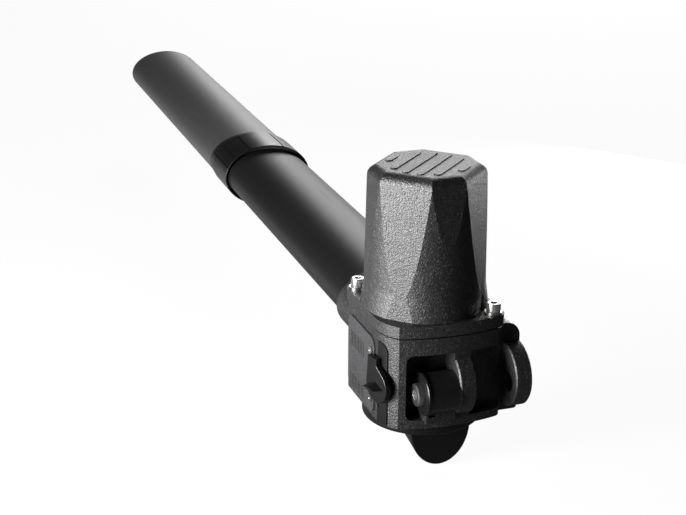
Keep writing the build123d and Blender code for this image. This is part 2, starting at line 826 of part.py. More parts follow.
def motor_plate():
    """Plate that carries the motor on the housing."""
    low = housing_top_over_tube
    floor = low + motor_plate_thickness
    plate = upright(motor_plate_radius, low, floor) + upright(stator_radius, low, flange_bottom + stator_lift)
    plate -= upright(rotor_radius, floor, flange_bottom + stator_lift + over)
    return plate - upright(pinion_radius + pinion_room, low - over, floor + over)


def motor_bearing():
    """Bearing of the motor shaft in the motor plate."""
    low = flange_bottom + stator_lift - motor_bearing_drop
    high = low + motor_bearing_width
    ring = upright(rotor_radius - seat_gap, low, high)
    return ring - upright(motor_shaft_radius + running_gap, low - over, high + over)


def end_shield():
    """Upper bearing shield of the motor."""
    low = flange_bottom + stator_lift + stator_length
    high = low + shield_thickness
    shield = upright(stator_radius - shield_inset, low, high)
    return shield - upright(motor_shaft_radius + running_gap, low - over, high + over)


def nodes():
    """Every sub-part by its node name."""
    return {
        "gearbox_housing": gearbox_housing(),
        "motor_cover": motor_cover(),
        "cover_gasket": cover_gasket(),
        "cover_bolts": cover_bolts(),
        "cover_washers": cover_washers(),
        "side_plate": side_plate(),
        "side_plate_screws": side_plate_screws(),
        "panel_strip": panel_strip(),
        "bottom_cover": bottom_cover(),
        "bottom_screws": bottom_screws(),
        "cable_cowl": cable_cowl(),
        "pivot_bolt": pivot_bolt(),
        "pivot_washer": pivot_washer(),
        "fixed_tube": fixed_tube(),
        "screw_bearing": screw_bearing(),
        "motor_plate": motor_plate(),
        "motor_bearing": motor_bearing(),
        "motor_stator": motor_stator(),
        "end_shield": end_shield(),
        "motor_rotor": motor_rotor(),
        "bevel_pinion": bevel_pinion(),
        "lead_screw": lead_screw(),
        "crown_wheel": crown_wheel(),
        "release_lever": release_lever(),
        "release_shaft": release_shaft(),
        "sliding_tube": sliding_tube(),
        "sliding_collar": collar(),
        "wiper_seal": wiper_seal(),
        "end_cap": end_cap(),
        "push_tube": push_tube(),
        "drive_nut": drive_nut(),
        "front_eye": front_eye(),
        "front_plug": front_plug(),
    }


def main():
    """Writes one file per sub-part."""
    os.makedirs("parts", exist_ok=True)
    for name, shape in nodes().items():
        if isinstance(shape, list):
            shape = Compound(children=shape)
        export_step(shape, f"parts/{name}.step")


main()
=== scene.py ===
"""Finishes, fine pieces and studio for the swing gate opener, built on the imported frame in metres."""

import logging
import math
from dataclasses import dataclass
from enum import Enum

import bmesh
import bpy
from mathutils import Matrix, Vector

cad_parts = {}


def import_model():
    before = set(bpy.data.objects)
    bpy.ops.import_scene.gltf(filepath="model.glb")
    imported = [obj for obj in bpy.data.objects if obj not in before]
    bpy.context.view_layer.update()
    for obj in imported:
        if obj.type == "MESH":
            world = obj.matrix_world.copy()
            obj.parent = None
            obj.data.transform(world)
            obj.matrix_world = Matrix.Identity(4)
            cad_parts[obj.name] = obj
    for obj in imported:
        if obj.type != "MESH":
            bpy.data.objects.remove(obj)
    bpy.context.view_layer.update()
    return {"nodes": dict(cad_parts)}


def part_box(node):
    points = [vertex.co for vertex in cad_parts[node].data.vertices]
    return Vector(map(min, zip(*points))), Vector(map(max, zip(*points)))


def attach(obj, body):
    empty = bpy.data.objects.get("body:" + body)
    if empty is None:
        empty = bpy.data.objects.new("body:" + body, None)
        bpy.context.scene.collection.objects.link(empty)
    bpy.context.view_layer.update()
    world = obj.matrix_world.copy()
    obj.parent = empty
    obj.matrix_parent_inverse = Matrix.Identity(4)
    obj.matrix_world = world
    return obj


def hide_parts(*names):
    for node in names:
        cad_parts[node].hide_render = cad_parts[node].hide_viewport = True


MM = 0.001
SHARP_ANGLE = math.radians(32)
SIDEWAYS = Matrix.Rotation(-math.pi / 2, 4, "X")
LOG = logging.getLogger("gate_opener")

Point = tuple[float, float, float]
Colour = tuple[float, float, float]
Tree = bpy.types.NodeTree
Socket = bpy.types.NodeSocket

EVEN: Point = (1.0, 1.0, 1.0)
LENGTHWISE: Point = (0.06, 1.0, 1.0)


class Texture(Enum):
    """How the surface of a finish was made."""

    CAST = "cast"
    DRAWN = "drawn"
    MOULDED = "moulded"
    MACHINED = "machined"

    @property
    def metallic(self) -> float:
        """One for bare machined metal, zero for every coated or moulded skin."""
        return 1.0 if self is Texture.MACHINED else 0.0

    @property
    def stretch(self) -> Point:
        """The scale of the grain's coordinates: drawn skins run lengthwise."""
        return LENGTHWISE if self is Texture.DRAWN else EVEN


def connect(tree: Tree, source: Socket, target: Socket) -> None:
    """Joins two sockets."""
    tree.links.new(source, target)


def feed(tree: Tree, value: object, target: Socket) -> None:
    """Joins a socket to an input, or sets the input to a value.

    Args:
        tree: The tree that holds the input.
        value: A socket or a plain value.
        target: The input.
    """
    if isinstance(value, Socket):
        connect(tree, value, target)
    else:
        target.default_value = value


def math_node(tree: Tree, operation: str, first: object, second: object) -> Socket:
    """Adds a maths node.

    Args:
        tree: The tree that gets the node.
        operation: Blender's name of the operation.
        first: A socket or a number.
        second: A socket or a number.

    Returns:
        The node's output.
    """
    node = tree.nodes.new("ShaderNodeMath")
    node.operation = operation
    for socket, value in zip(node.inputs, (first, second)):
        feed(tree, value, socket)
    return node.outputs[0]


def clamped(tree: Tree, value: Socket) -> Socket:
    """Keeps a value between zero and one."""
    return math_node(tree, "MINIMUM", math_node(tree, "MAXIMUM", value, 0.0), 1.0)


def colour_mix(tree: Tree, share: Socket, first: object, second: object) -> Socket:
    """Mixes two colours.

    Args:
        tree: The tree that gets the node.
        share: The second colour's share.
        first: A socket, or red, green and blue.
        second: A socket, or red, green and blue.

    Returns:
        The mixed colour.
    """
    mix = tree.nodes.new("ShaderNodeMix")
    mix.data_type = "RGBA"
    connect(tree, share, mix.inputs[0])
    for socket, colour in zip((mix.inputs[6], mix.inputs[7]), (first, second)):
        feed(tree, (*colour, 1.0) if isinstance(colour, tuple) else colour, socket)
    return mix.outputs[2]


def shader_mix(tree: Tree, share: Socket, first: Socket, second: Socket) -> Socket:
    """Mixes two shaders.

    Args:
        tree: The tree that gets the node.
        share: The second shader's share.
        first: The first shader.
        second: The second shader.

    Returns:
        The mixed shader.
    """
    mix = tree.nodes.new("ShaderNodeMixShader")
    for socket, value in zip(mix.inputs, (share, first, second)):
        connect(tree, value, socket)
    return mix.outputs[0]


class EffectGroups:
    """The node groups that the finishes share, each built once."""

    grain_scale: float = 700.0
    grain_detail: float = 2.0
    broad_grain_scale: float = 0.31
    broad_grain_detail: float = 1.0
    broad_grain_height: float = 0.5
    speck_threshold: float = 0.57
    speck_sharpness: float = 9.0
    cloud_scale: float = 14.0
    cloud_detail: float = 3.0
    scuff_scale: float = 7.0
    scuff_detail: float = 6.0
    scuff_threshold: float = 0.6
    scuff_sharpness: float = 6.0

    @staticmethod
    def _group(name: str, inputs: dict[str, float], outputs: tuple[str, ...]) -> Tree:
        """Makes an empty group.

        Args:
            name: The group's name.
            inputs: Named number inputs with their defaults.
            outputs: Named number outputs.

        Returns:
            The group with its two end nodes.
        """
        group = bpy.data.node_groups.new(name, "ShaderNodeTree")
        group.interface.new_socket("Vector", in_out="INPUT", socket_type="NodeSocketVector")
        for label, value in inputs.items():
            socket = group.interface.new_socket(label, in_out="INPUT", socket_type="NodeSocketFloat")
            socket.default_value = value
        for label in outputs:
            group.interface.new_socket(label, in_out="OUTPUT", socket_type="NodeSocketFloat")
        group.nodes.new("NodeGroupInput")
        group.nodes.new("NodeGroupOutput")
        return group

    @staticmethod
    def _noise(group: Tree, vector: Socket, scale: Socket, detail: float) -> Socket:
        """Adds a noise texture.

        Args:
            group: The tree that gets the texture.
            vector: The coordinates.
            scale: The cells per metre.
            detail: The octaves.

        Returns:
            The texture's value.
        """
        noise = group.nodes.new("ShaderNodeTexNoise")
        noise.inputs["Detail"].default_value = detail
        connect(group, vector, noise.inputs["Vector"])
        connect(group, scale, noise.inputs["Scale"])
        return noise.outputs["Fac"]

    @classmethod
    def grain(cls) -> Tree:
        """Builds the grain of a skin, as a height and as a mask of its raised specks.

        Returns:
            The group, or the one already built.
        """
        found = bpy.data.node_groups.get("skin_grain")
        if found:
            return found
        inputs = {"Scale": cls.grain_scale, "Threshold": cls.speck_threshold}
        group = cls._group("skin_grain", inputs, ("Height", "Specks"))
        start, end = group.nodes["Group Input"], group.nodes["Group Output"]
        fine = cls._noise(group, start.outputs["Vector"], start.outputs["Scale"], cls.grain_detail)
        broad_scale = math_node(group, "MULTIPLY", start.outputs["Scale"], cls.broad_grain_scale)
        broad = cls._noise(group, start.outputs["Vector"], broad_scale, cls.broad_grain_detail)
        height = math_node(group, "ADD", fine, math_node(group, "MULTIPLY", broad, cls.broad_grain_height))
        above = math_node(group, "SUBTRACT", fine, start.outputs["Threshold"])
        mask = clamped(group, math_node(group, "MULTIPLY", above, cls.speck_sharpness))
        connect(group, height, end.inputs["Height"])
        connect(group, mask, end.inputs["Specks"])
        return group

    @classmethod
    def handling(cls) -> Tree:
        """Builds the broad, soft unevenness left by coating and handling, about 0.5 on average.

        Returns:
            The group, or the one already built.
        """
        found = bpy.data.node_groups.get("handling_marks")
        if found:
            return found
        group = cls._group("handling_marks", {"Scale": cls.cloud_scale}, ("Cloud", "Scuff"))
        start, end = group.nodes["Group Input"], group.nodes["Group Output"]
        cloud = cls._noise(group, start.outputs["Vector"], start.outputs["Scale"], cls.cloud_detail)
        scuff_scale = math_node(group, "MULTIPLY", start.outputs["Scale"], cls.scuff_scale)
        scuff = cls._noise(group, start.outputs["Vector"], scuff_scale, cls.scuff_detail)
        above = math_node(group, "SUBTRACT", scuff, cls.scuff_threshold)
        sharp = clamped(group, math_node(group, "MULTIPLY", above, cls.scuff_sharpness))
        connect(group, cloud, end.inputs["Cloud"])
        connect(group, sharp, end.inputs["Scuff"])
        return group


@dataclass(frozen=True)
class SmoothShadedZone:
    """A round length along Y, on the clevis axis, whose skin is smooth and black; the black is partly the
    barrel's own and partly painted shade of its recessed pocket.
    """

    radius: float
    start: float
    end: float
    edge: float = 0.4 * MM
    # Painted shade: darker than the casting, standing in for the shade in the pocket round the barrel.
    colour: Colour = (0.003, 0.003, 0.0033)

    def mask(self, tree: Tree, coords: Socket) -> Socket:
        """Measures how far a point lies inside the zone.

        Args:
            tree: The material's tree.
            coords: The object coordinates.

        Returns:
            One inside the zone and zero outside it.
        """
        parts = tree.nodes.new("ShaderNodeSeparateXYZ")
        connect(tree, coords, parts.inputs[0])
        across = math_node(tree, "MULTIPLY", parts.outputs["X"], parts.outputs["X"])
        upward = math_node(tree, "MULTIPLY", parts.outputs["Z"], parts.outputs["Z"])
        off = math_node(tree, "SQRT", math_node(tree, "ADD", across, upward), 0.0)
        inside = math_node(tree, "SUBTRACT", self.radius, off)
        after = math_node(tree, "SUBTRACT", parts.outputs["Y"], self.start)
        before = math_node(tree, "SUBTRACT", self.end, parts.outputs["Y"])
        depth = math_node(tree, "MINIMUM", inside, math_node(tree, "MINIMUM", after, before))
        return clamped(tree, math_node(tree, "DIVIDE", depth, self.edge))


@dataclass(frozen=True)
class Finish:
    """One finish of the object: its colour, gloss and the texture of its skin."""

    name: str
    colour: Colour
    roughness: float
    texture: Texture
    grain_scale: float = 900.0
    grain_height: float = 0.05 * MM
    grain_strength: float = 0.5
    speck_colour: Colour = (0.2, 0.2, 0.2)
    speck_share: float = 0.0
    spread: float = 0.08
    specular: float = 0.5
    unevenness: float = 0.2
    smooth_shaded_zone: SmoothShadedZone | None = None

    def material(self) -> bpy.types.Material:
        """Builds the material, or gives the one already built.

        Returns:
            The material.
        """
        found = bpy.data.materials.get(self.name)
        if found:
            return found
        made = bpy.data.materials.new(self.name)
        made.use_nodes = True
        tree = made.node_tree
        shader = tree.nodes["Principled BSDF"]
        coords = tree.nodes.new("ShaderNodeTexCoord")
        mapping = tree.nodes.new("ShaderNodeMapping")
        mapping.inputs["Scale"].default_value = self.texture.stretch
        connect(tree, coords.outputs["Object"], mapping.inputs["Vector"])
        grain = tree.nodes.new("ShaderNodeGroup")
        grain.node_tree = EffectGroups.grain()
        grain.inputs["Scale"].default_value = self.grain_scale
        marks = tree.nodes.new("ShaderNodeGroup")
        marks.node_tree = EffectGroups.handling()
        for node in (grain, marks):
            connect(tree, mapping.outputs["Vector"], node.inputs["Vector"])
        shader.inputs["Metallic"].default_value = self.texture.metallic
        shader.inputs["Specular IOR Level"].default_value = self.specular
        colour = self._colour(tree, grain, marks)
        strength = self.grain_strength
        if self.smooth_shaded_zone:
            mask = self.smooth_shaded_zone.mask(tree, coords.outputs["Object"])
            rest = math_node(tree, "SUBTRACT", 1.0, mask)
            strength = math_node(tree, "MULTIPLY", rest, self.grain_strength)
            # Painted shade: the zone's darker colour over the barrel, for the shade of its recessed pocket.
            colour = colour_mix(tree, mask, colour, self.smooth_shaded_zone.colour)
        connect(tree, colour, shader.inputs["Base Color"])
        connect(tree, self._roughness(tree, marks), shader.inputs["Roughness"])
        bump = tree.nodes.new("ShaderNodeBump")
        bump.inputs["Distance"].default_value = self.grain_height
        feed(tree, strength, bump.inputs["Strength"])
        connect(tree, grain.outputs["Height"], bump.inputs["Height"])
        connect(tree, bump.outputs["Normal"], shader.inputs["Normal"])
        return made

    def _colour(self, tree: Tree, grain: bpy.types.Node, marks: bpy.types.Node) -> Socket:
        """Mixes the base colour with the specks and a light unevenness.

        Args:
            tree: The material's tree.
            grain: The grain's group node.
            marks: The handling marks' group node.

        Returns:
            The colour.
        """
        dark = tuple(part * (1.0 - self.unevenness) for part in self.colour)
        light = tuple(min(1.0, part * (1.0 + self.unevenness)) for part in self.colour)
        uneven = colour_mix(tree, marks.outputs["Cloud"], dark, light)
        share = math_node(tree, "MULTIPLY", grain.outputs["Specks"], self.speck_share)
        return colour_mix(tree, share, uneven, self.speck_colour)

    def _roughness(self, tree: Tree, marks: bpy.types.Node) -> Socket:
        """Varies the roughness round its mean, with duller scuffs.

        Args:
            tree: The material's tree.
            marks: The handling marks' group node.

        Returns:
            The roughness.
        """
        off = math_node(tree, "SUBTRACT", marks.outputs["Cloud"], 0.5)
        cloud = math_node(tree, "MULTIPLY", off, self.spread * 2)
        scuff = math_node(tree, "MULTIPLY", marks.outputs["Scuff"], self.spread)
        return math_node(tree, "ADD", math_node(tree, "ADD", cloud, scuff), self.roughness)


POWDER_CAST = Finish(
    "powder_coated_casting",
    (0.008, 0.008, 0.0083),
    0.42,
    Texture.CAST,
    grain_scale=860.0,
    grain_height=0.55 * MM,
    grain_strength=1.0,
    speck_share=0.25,
    # The barrel's smooth skin, darkened as painted shade of its recessed pocket.
    smooth_shaded_zone=SmoothShadedZone(19.2 * MM, 35.3 * MM, 63.6 * MM),
)
TUBE_SATIN = Finish(
    "anodised_tube", (0.005, 0.005, 0.0053), 0.42, Texture.DRAWN, grain_strength=0.3, specular=0.2
)
# Painted light: the same anodised tube as the fixed one, in a lighter colour that stands in for the
# brighter light on the sliding tube.
SLIDING_SATIN = Finish(
    "painted_light_anodised_tube", (0.026, 0.026, 0.027), 0.5, Texture.DRAWN, grain_strength=0.3, specular=1.0
)
COLLAR_SATIN = Finish(
    "moulded_collar",
    (0.004, 0.004, 0.0045),
    0.34,
    Texture.MOULDED,
    grain_scale=1300.0,
    grain_height=0.08 * MM,
    specular=0.3,
)
SMOOTH_MOULDED = Finish(
    "smooth_moulded_black",
    (0.004, 0.004, 0.0044),
    0.3,
    Texture.MOULDED,
    grain_scale=1500.0,
    grain_height=0.04 * MM,
    grain_strength=0.3,
    specular=0.3,
)
PLATE_GREY = Finish(
    "panel_charcoal",
    (0.022, 0.022, 0.023),
    0.42,
    Texture.MOULDED,
    grain_scale=1000.0,
    grain_height=0.3 * MM,
    grain_strength=0.9,
    speck_share=0.2,
)
BRIGHT_STEEL = Finish("plated_bolt_steel", (0.46, 0.46, 0.45), 0.3, Texture.MACHINED, spread=0.12)
DARK_STEEL = Finish("oiled_steel", (0.26, 0.26, 0.27), 0.34, Texture.MACHINED)
BRONZE = Finish("machined_bronze", (0.52, 0.33, 0.14), 0.36, Texture.MACHINED, grain_height=0.04 * MM)
ALUMINIUM = Finish("machined_aluminium", (0.68, 0.68, 0.69), 0.38, Texture.MACHINED)
RUBBER = Finish(
    "matt_rubber", (0.01, 0.01, 0.01), 0.7, Texture.MOULDED, grain_scale=1100.0, grain_height=0.1 * MM
)

NODE_FINISHES: dict[str, Finish] = {
    "gearbox_housing": POWDER_CAST,
    "motor_cover": POWDER_CAST,
    "cover_gasket": RUBBER,
    "cover_bolts": BRIGHT_STEEL,
    "cover_washers": BRIGHT_STEEL,
    "side_plate": PLATE_GREY,
    "side_plate_screws": BRIGHT_STEEL,
    "panel_strip": SMOOTH_MOULDED,
    "bottom_cover": SMOOTH_MOULDED,
    "bottom_screws": BRIGHT_STEEL,
    "cable_cowl": SMOOTH_MOULDED,
    "pivot_bolt": BRIGHT_STEEL,
    "pivot_washer": SMOOTH_MOULDED,
    "fixed_tube": TUBE_SATIN,
    "screw_bearing": DARK_STEEL,
    "motor_plate": ALUMINIUM,
    "motor_bearing": DARK_STEEL,
    "motor_stator": DARK_STEEL,
    "end_shield": ALUMINIUM,
    "motor_rotor": DARK_STEEL,
    "bevel_pinion": DARK_STEEL,
    "lead_screw": DARK_STEEL,
    "crown_wheel": BRONZE,
    "release_lever": SMOOTH_MOULDED,
    "release_shaft": DARK_STEEL,
    "sliding_tube": SLIDING_SATIN,
    "sliding_collar": COLLAR_SATIN,
    "wiper_seal": RUBBER,
    "end_cap": SMOOTH_MOULDED,
    "push_tube": ALUMINIUM,
    "drive_nut": BRONZE,
    "front_eye": DARK_STEEL,
    "front_plug": BRONZE,
}


class RingShape(Enum):
    """The outline of one ring of a turned form."""

    ROUND = "round"
    HEXAGON = "hexagon"


@dataclass(frozen=True)
class Ring:
    """One ring of a turned form; a ring without radius is a pole."""

    radius: float
    height: float
    shape: RingShape = RingShape.ROUND

    def point(self, angle: float) -> Point:
        """Gives the ring's point at an angle.

        Args:
            angle: The angle round Z, in radians.

        Returns:
            The point.
        """
        reach = self.radius
        if self.shape is RingShape.HEXAGON:
            inside = (angle + math.pi / 6) % (math.pi / 3) - math.pi / 6
            reach = self.radius / math.cos(inside)
        return (reach * math.cos(angle), reach * math.sin(angle), self.height)


def turned_mesh(name: str, rings: list[Ring], steps: int = 48) -> bpy.types.Mesh:
    """Builds a closed form of revolution from its rings.

    Args:
        name: The mesh's name.
        rings: The rings from the lower pole to the upper one.
        steps: The number of points on a ring.

    Returns:
        The mesh, with its faces outwards.
    """
    form = bmesh.new()
    loops = []
    for ring in rings:
        count = 1 if ring.radius == 0 else steps
        loops.append([form.verts.new(ring.point(math.tau * i / steps)) for i in range(count)])
    for low, high in zip(loops, loops[1:]):
        for i in range(steps):
            j = (i + 1) % steps
            corners = [low[i % len(low)], low[j % len(low)], high[j % len(high)], high[i % len(high)]]
            unique = list(dict.fromkeys(corners))
            if len(unique) > 2:
                form.faces.new(unique)
    bmesh.ops.recalc_face_normals(form, faces=form.faces)
    mesh = bpy.data.meshes.new(name)
    form.to_mesh(mesh)
    form.free()
    return mesh


def finish_piece(
    name: str, mesh: bpy.types.Mesh, finish: Finish, body: str, nodes: tuple[str, ...]
) -> None:
    """Shows a finished mesh as a piece of the object.

    Args:
        name: The piece's name.
        mesh: Its mesh, in place.
        finish: Its finish.
        body: The body it rides on.
        nodes: The nodes it stands for.
    """
    mesh.materials.clear()
    mesh.materials.append(finish.material())
    mesh.shade_smooth()
    mesh.set_sharp_from_angle(angle=SHARP_ANGLE)
    piece = bpy.data.objects.new(name, mesh)
    bpy.context.scene.collection.objects.link(piece)
    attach(piece, body)
    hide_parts(*nodes)
    LOG.info("%s rides on %s, %d faces", name, body, len(mesh.polygons))


def joined_mesh(name: str, mesh: bpy.types.Mesh, places: list[Matrix]) -> bpy.types.Mesh:
    """Repeats one mesh at several places.

    Args:
        name: The new mesh's name.
        mesh: The mesh to repeat.
        places: Where each copy stands.

    Returns:
        One mesh with all the copies.
    """
    form = bmesh.new()
    for place in places:
        copy = mesh.copy()
        copy.transform(place)
        form.from_mesh(copy)
        bpy.data.meshes.remove(copy)
    joined = bpy.data.meshes.new(name)
    form.to_mesh(joined)
    form.free()
    return joined


class PatternTree:
    """A Geometry Nodes tree with named inputs, built once and used through its sockets' identifiers."""

    def __init__(self, name: str, inputs: dict[str, tuple[str, float]]) -> None:
        """Makes the empty tree.

        Args:
            name: The tree's name.
            inputs: Socket kinds and defaults by input name.
        """
        self.tree = bpy.data.node_groups.new(name, "GeometryNodeTree")
        face = self.tree.interface
        face.new_socket("Geometry", in_out="INPUT", socket_type="NodeSocketGeometry")
        for label, (kind, value) in inputs.items():
            face.new_socket(label, in_out="INPUT", socket_type=kind).default_value = value
        face.new_socket("Material", in_out="INPUT", socket_type="NodeSocketMaterial")
        face.new_socket("Geometry", in_out="OUTPUT", socket_type="NodeSocketGeometry")
        self.start = self.tree.nodes.new("NodeGroupInput")
        self.end = self.tree.nodes.new("NodeGroupOutput")

    def node(self, kind: str, **sockets: object) -> bpy.types.Node:
        """Adds a node and joins or sets its inputs.

        Args:
            kind: Blender's name of the node.
            **sockets: Sockets or values by input name, with _ for a space.

        Returns:
            The node.
        """
        node = self.tree.nodes.new(kind)
        for label, value in sockets.items():
            feed(self.tree, value, node.inputs[label.replace("_", " ")])
        return node

    def close(self, shapes: list[Socket]) -> None:
        """Realises the shapes and gives them their material.

        Args:
            shapes: The sockets of the shapes to show.
        """
        join = self.tree.nodes.new("GeometryNodeJoinGeometry")
        for shape in shapes:
            connect(self.tree, shape, join.inputs[0])
        real = self.node("GeometryNodeRealizeInstances", Geometry=join.outputs[0])
        material = self.start.outputs["Material"]
        painted = self.node("GeometryNodeSetMaterial", Geometry=real.outputs[0], Material=material)
        connect(self.tree, painted.outputs[0], self.end.inputs[0])

    def applied(self, mesh: bpy.types.Mesh, finish: Finish, values: dict[str, float]) -> bpy.types.Mesh:
        """Runs the tree on a mesh.

        Args:
            mesh: The mesh that goes in.
            finish: The finish of the result.
            values: Values by input name.

        Returns:
            The result as a plain mesh.
        """
        base = bpy.data.objects.new(mesh.name + "_base", mesh)
        bpy.context.scene.collection.objects.link(base)
        modifier = base.modifiers.new("pattern", "NODES")
        modifier.node_group = self.tree
        for item in self.tree.interface.items_tree:
            if item.in_out == "INPUT" and item.name in values:
                modifier[item.identifier] = values[item.name]
            if item.in_out == "INPUT" and item.name == "Material":
                modifier[item.identifier] = finish.material()
        graph = bpy.context.evaluated_depsgraph_get()
        result = bpy.data.meshes.new_from_object(base.evaluated_get(graph))
        base.modifiers.clear()
        bpy.data.objects.remove(base)
        return result


class KnurlTree(PatternTree):
    """Upright ribs round a bolt's head."""

    def __init__(self) -> None:
        """Builds the tree: a rib on each point of a circle."""
        super().__init__("knurl_ring", {
            "Count": ("NodeSocketInt", 36),
            "Radius": ("NodeSocketFloat", 0.006),
            "Rib": ("NodeSocketFloat", 0.0003),
            "Length": ("NodeSocketFloat", 0.006),
            "Level": ("NodeSocketFloat", 0.004),
        })
        given = self.start.outputs
        circle = self.node("GeometryNodeMeshCircle", Vertices=given["Count"], Radius=given["Radius"])
        rib = self.node("GeometryNodeMeshCylinder", Vertices=6, Radius=given["Rib"], Depth=given["Length"])
        lift = self.node("ShaderNodeCombineXYZ", Z=given["Level"])
        raised = self.node("GeometryNodeTransform", Geometry=circle.outputs[0], Translation=lift.outputs[0])
        ribs = self.node("GeometryNodeInstanceOnPoints", Points=raised.outputs[0], Instance=rib.outputs[0])
        self.close([given["Geometry"], ribs.outputs[0]])


class ThreadTree(PatternTree):
    """A thread wound round a bar along Z."""

    def __init__(self) -> None:
        """Builds the tree: a ridge swept along a spiral."""
        super().__init__("wound_thread", {
            "Turns": ("NodeSocketFloat", 90.0),
            "Radius": ("NodeSocketFloat", 0.009),
            "Length": ("NodeSocketFloat", 0.5),
            "Ridge": ("NodeSocketFloat", 0.001),
        })
        given = self.start.outputs
        spiral = self.node(
            "GeometryNodeCurveSpiral",
            Resolution=20,
            Rotations=given["Turns"],
            Start_Radius=given["Radius"],
            End_Radius=given["Radius"],
            Height=given["Length"],
        )
        ridge = self.node("GeometryNodeCurvePrimitiveCircle", Resolution=4, Radius=given["Ridge"])
        path, profile = spiral.outputs[0], ridge.outputs[0]
        swept = self.node("GeometryNodeCurveToMesh", Curve=path, Profile_Curve=profile, Fill_Caps=True)
        self.close([given["Geometry"], swept.outputs[0]])


@dataclass(frozen=True)
class ScrewSize:
    """The sizes of one kind of socket screw, apart from its shank's length."""

    head_radius: float
    head_height: float
    socket_reach: float
    socket_depth: float
    shank_radius: float
    edge: float = 0.5 * MM
    knurled: bool = True


@dataclass
class Fasteners:
    """Screws of one size, each with a hexagon socket in its head, standing for the plain solids.

    The brow's and the rib ends' shares are in edges, and rib_sink_share is in ribs.
    """

    name: str
    node: str
    places: list[Matrix]
    size: ScrewSize
    shank_length: float
    brow_share: float = 0.3
    socket_rim: float = 0.4 * MM
    socket_rim_drop: float = 0.3 * MM
    rib: float = 0.25 * MM
    rib_count: int = 40
    rib_sink_share: float = 0.2
    rib_ends_share: float = 2.4
    finish: Finish = BRIGHT_STEEL
    slot: str = "bolt_steel"

    def rings(self, barrel: float) -> list[Ring]:
        """Lists a screw's rings, from the shank's tip to the bottom of the socket.

        Args:
            barrel: The head's radius without its ribs.

        Returns:
            The rings.
        """
        size = self.size
        edge, height, shank, socket = size.edge, size.head_height, size.shank_radius, size.socket_reach
        brow, floor = edge * self.brow_share, height - size.socket_depth
        return [
            Ring(0.0, -self.shank_length),
            Ring(shank - edge, -self.shank_length),
            Ring(shank, edge - self.shank_length),
            Ring(shank, 0.0),
            Ring(barrel - edge / 2, 0.0),
            Ring(barrel, edge / 2),
            Ring(barrel, height - edge),
            Ring(barrel - brow, height - brow),
            Ring(barrel - edge, height),
            Ring(socket + self.socket_rim, height),
            Ring(socket, height - self.socket_rim_drop, RingShape.HEXAGON),
            Ring(socket, floor, RingShape.HEXAGON),
            Ring(0.0, floor - self.socket_rim),
        ]

    def build(self, tree: KnurlTree) -> None:
        """Makes the screws and shows them.

        Args:
            tree: The shared tree of ribs.
        """
        size = self.size
        barrel = size.head_radius - (self.rib if size.knurled else 0.0)
        mesh = turned_mesh(self.name, self.rings(barrel))
        if size.knurled:
            length = size.head_height - self.rib_ends_share * size.edge
            values = {
                "Count": self.rib_count,
                "Radius": barrel - self.rib * self.rib_sink_share,
                "Rib": self.rib,
                "Length": length,
                "Level": size.edge / 2 + length / 2,
            }
            mesh = tree.applied(mesh, self.finish, values)
        whole = joined_mesh(self.name + "_set", mesh, self.places)
        finish_piece(self.name, whole, self.finish, "opener_body", (self.node,))


def corner_places(
    node: str, reach: float, turn: Matrix, level: float, corners: tuple[tuple[int, int], ...]
) -> list[Matrix]:
    """Finds upright screws from the corners of their node's box.

    Args:
        node: The node that holds them all.
        reach: The head's radius.
        turn: The turn that every screw takes.
        level: The height of the head's underside.
        corners: The corners of the box that hold a screw, as signs of X and Y.

    Returns:
        One place for each corner.
    """
    low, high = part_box(node)
    middle, half = (low + high) / 2, (high - low) / 2
    half_x, half_y = half.x - reach, half.y - reach
    return [
        Matrix.Translation((middle.x + sx * half_x, middle.y + sy * half_y, level)) @ turn
        for sx, sy in corners
    ]


